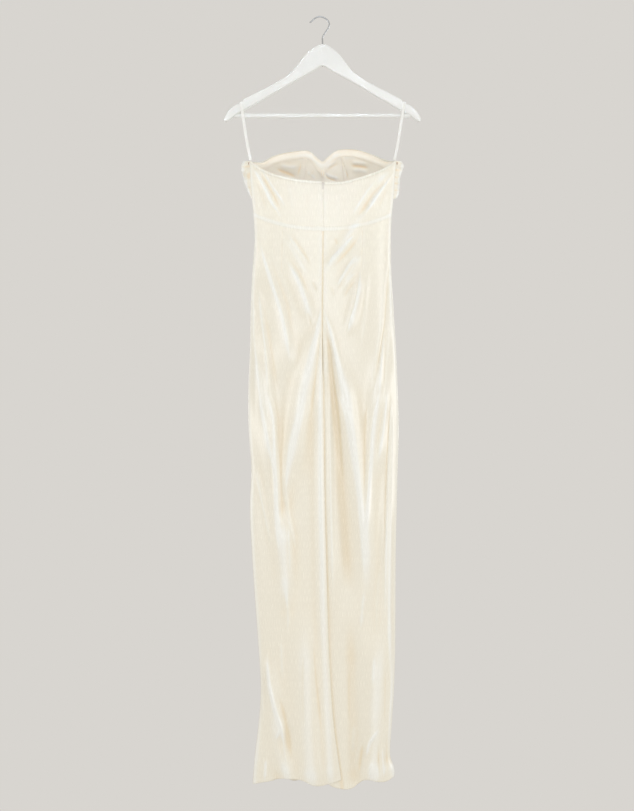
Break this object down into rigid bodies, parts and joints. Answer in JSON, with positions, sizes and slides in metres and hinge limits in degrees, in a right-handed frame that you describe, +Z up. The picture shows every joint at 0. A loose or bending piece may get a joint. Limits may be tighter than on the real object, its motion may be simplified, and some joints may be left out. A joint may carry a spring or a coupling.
{
  "type": "halter maxi dress on a hanger",
  "caption": "Long satin dress with gathered cups, a dipping back, a waist seam and a lapped back slit, hung by ribbon loops on a flat hanger with a trouser bar and a wire hook",
  "frame": {"origin": "the inside of the hook's arch, straight above the hanger's stem, where the hanger hangs", "axes": "+Z up along the stem, the dress's back faces -Y and its front +Y, +X to the right of someone who looks at the back"},
  "size_m": [0.4388, 0.1047, 1.7164],
  "materials": {
    "satin": "cream satin with a soft sheen",
    "lining": "cream satin seen from inside",
    "ribbon": "white narrow ribbon",
    "hanger_paint": "white satin paint on wood",
    "hook_chrome": "bright chrome wire",
    "zip_metal": "small dull metal"
  },
  "bodies": {
    "dress": {"back_skirt_left": "satin", "back_skirt_right": "satin", "front_skirt": "satin", "waistband_back_left": "satin", "waistband_back_right": "satin", "waistband_front": "satin", "back_bodice_left": "satin", "back_bodice_right": "satin", "back_binding_left": "satin", "back_binding_right": "satin", "front_midriff": "satin", "front_cup_left": "satin", "front_cup_right": "satin", "cup_lining_side_left": "lining", "cup_lining_middle_left": "lining", "cup_lining_side_right": "lining", "cup_lining_middle_right": "lining", "neck_facing_left": "lining", "neck_facing_right": "lining", "boning_channel_left": "lining", "boning_channel_right": "lining", "centre_front_tack": "lining", "zip_slider": "zip_metal", "hanging_loop_left": "ribbon", "hanging_loop_right": "ribbon", "hanger_body": "hanger_paint", "hanger_bar": "hanger_paint", "hanger_hook": "hook_chrome"},
    "pull": {"zip_pull": "zip_metal"}
  },
  "joints": [
    {"name": "pull_swing", "type": "hinge", "parent": "dress", "child": "pull", "pos_m": [0.0011, -0.02388, -0.3716], "axis": [-1, 0, 0], "range_deg": [0, 150]}
  ]
}
